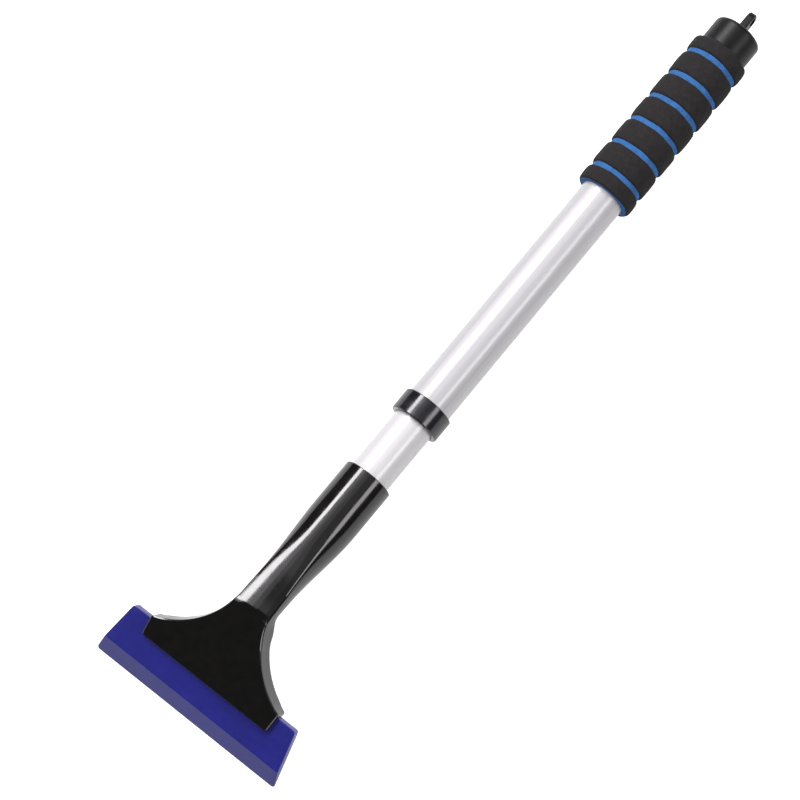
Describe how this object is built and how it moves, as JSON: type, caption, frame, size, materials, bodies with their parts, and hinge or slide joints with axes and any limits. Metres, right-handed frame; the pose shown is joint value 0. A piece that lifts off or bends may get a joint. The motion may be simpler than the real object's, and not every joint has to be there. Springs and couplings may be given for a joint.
{
  "type": "telescopic ice scraper",
  "caption": "Hand scraper with a wide bevelled plastic blade on a bent head, a telescopic aluminium tube with a twist lock, and a ribbed foam grip with a hanging lug.",
  "frame": {"origin": "centre of the hanging hole in the end cap's lug", "axes": "+X along the tubes from the hanging hole towards the blade, +Z out of the head's front face, +Y across the head"},
  "size_m": [0.462, 0.1144, 0.0389],
  "materials": {
    "outer_tube_metal": "satin, fine drawn lines along the tube",
    "inner_tube_metal": "satin, fine drawn lines along the tube",
    "collar_plastic": "glossy black",
    "head_plastic": "glossy black, moulded",
    "cap_plastic": "satin black",
    "black_foam": "black closed-cell foam, fine skin",
    "blue_foam": "blue closed-cell foam",
    "blade_tpu": "semi-gloss blue polyurethane",
    "white_nylon": "natural nylon",
    "lock_plastic": "black moulded nylon",
    "steel": "zinc plated"
  },
  "bodies": {
    "handle": {"outer_tube": "outer_tube_metal", "collar": "collar_plastic", "guide_ring": "white_nylon", "grip_core": "blue_foam", "grip_band_1": "black_foam", "grip_band_2": "black_foam", "grip_band_3": "black_foam", "grip_band_4": "black_foam", "grip_band_5": "black_foam", "grip_band_6": "black_foam", "grip_band_7": "black_foam", "end_cap": "cap_plastic"},
    "lock_cam": {"lock_ring": "white_nylon"},
    "wand": {"inner_tube": "inner_tube_metal", "lock_plug": "lock_plastic", "lock_washer": "steel", "lock_screw": "steel", "head_body": "head_plastic", "head_back_cover": "head_plastic", "blade": "blade_tpu", "cover_screws": "steel", "socket_screw": "steel"}
  },
  "joints": [
    {"name": "telescope_slide", "type": "slide", "parent": "handle", "child": "lock_cam", "axis": [1, 0, 0], "range_m": [-0.035, 0.17]},
    {"name": "twist_lock", "type": "hinge", "parent": "lock_cam", "child": "wand", "pos_m": [0.0709, 0, 0], "axis": [1, 0, 0], "range_deg": [-40, 40]}
  ]
}
